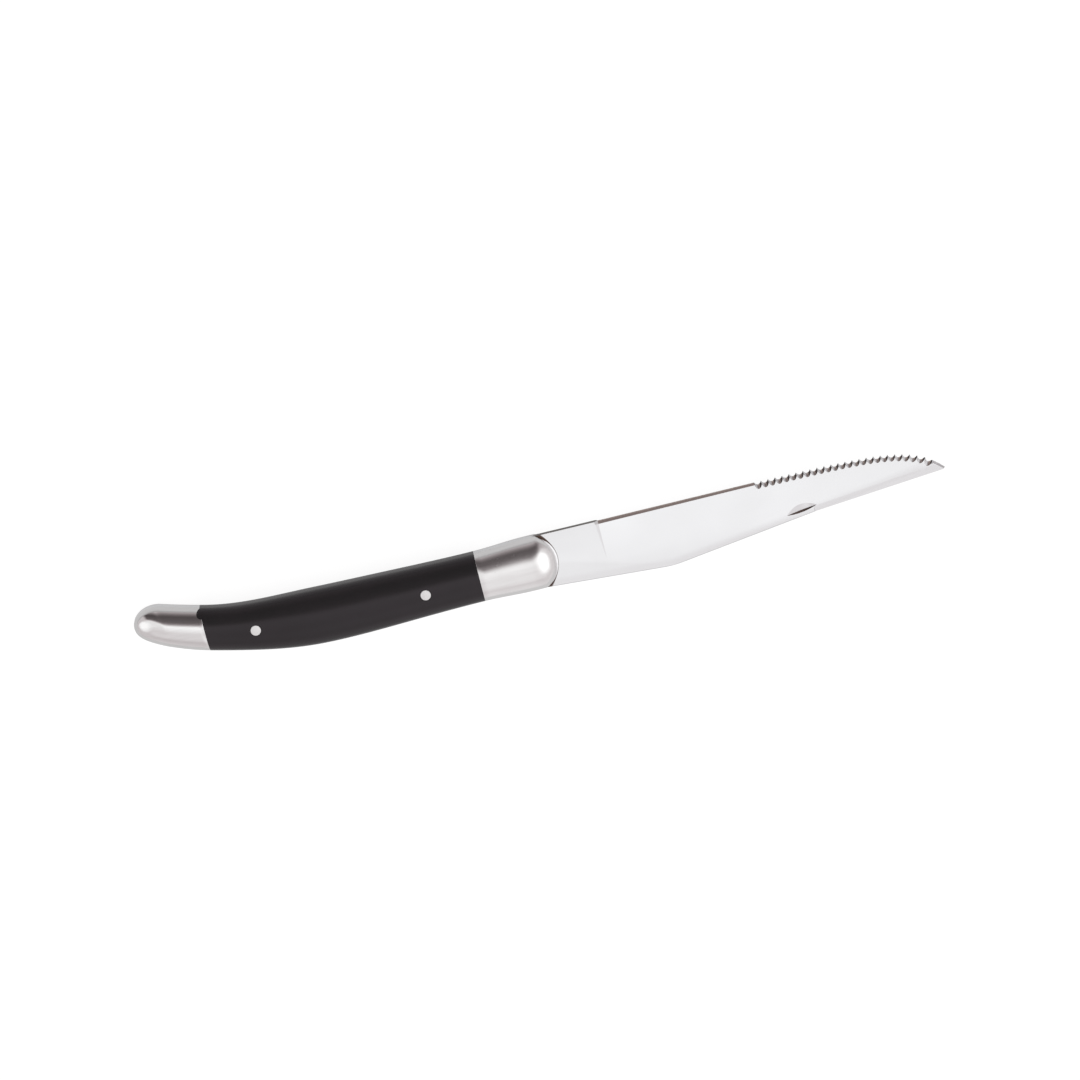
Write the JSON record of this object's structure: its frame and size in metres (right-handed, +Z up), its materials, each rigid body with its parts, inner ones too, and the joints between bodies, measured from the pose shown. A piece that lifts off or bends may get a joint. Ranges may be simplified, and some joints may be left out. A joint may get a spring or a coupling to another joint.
{
  "type": "steak knife",
  "caption": "Table steak knife with a fixed part-serrated blade, steel bolsters and end caps, and a black pinned handle.",
  "frame": {"origin": "centre of the bounding box in X and Y, on the surface that the knife lies on", "axes": "+X along the knife towards the point, +Y towards the cutting edge, +Z up through the knife's thickness as it lies on its right side, so the left side with the nail nick faces up"},
  "size_m": [0.23, 0.0248, 0.013],
  "materials": {
    "blade_steel": "fine satin, nearly polished",
    "bolster_steel": "satin polish, brushed lengthwise",
    "black_plastic": "black moulded plastic with a soft sheen",
    "pin_steel": "ground flush with the scales, matt"
  },
  "bodies": {
    "root": {"blade": "blade_steel", "front_bolster_left": "bolster_steel", "front_bolster_right": "bolster_steel", "scale_left": "black_plastic", "scale_right": "black_plastic", "end_cap_left": "bolster_steel", "end_cap_right": "bolster_steel", "front_pin": "pin_steel", "rear_pin": "pin_steel", "bolster_dowel": "pin_steel", "cap_dowel": "pin_steel"}
  },
  "joints": []
}
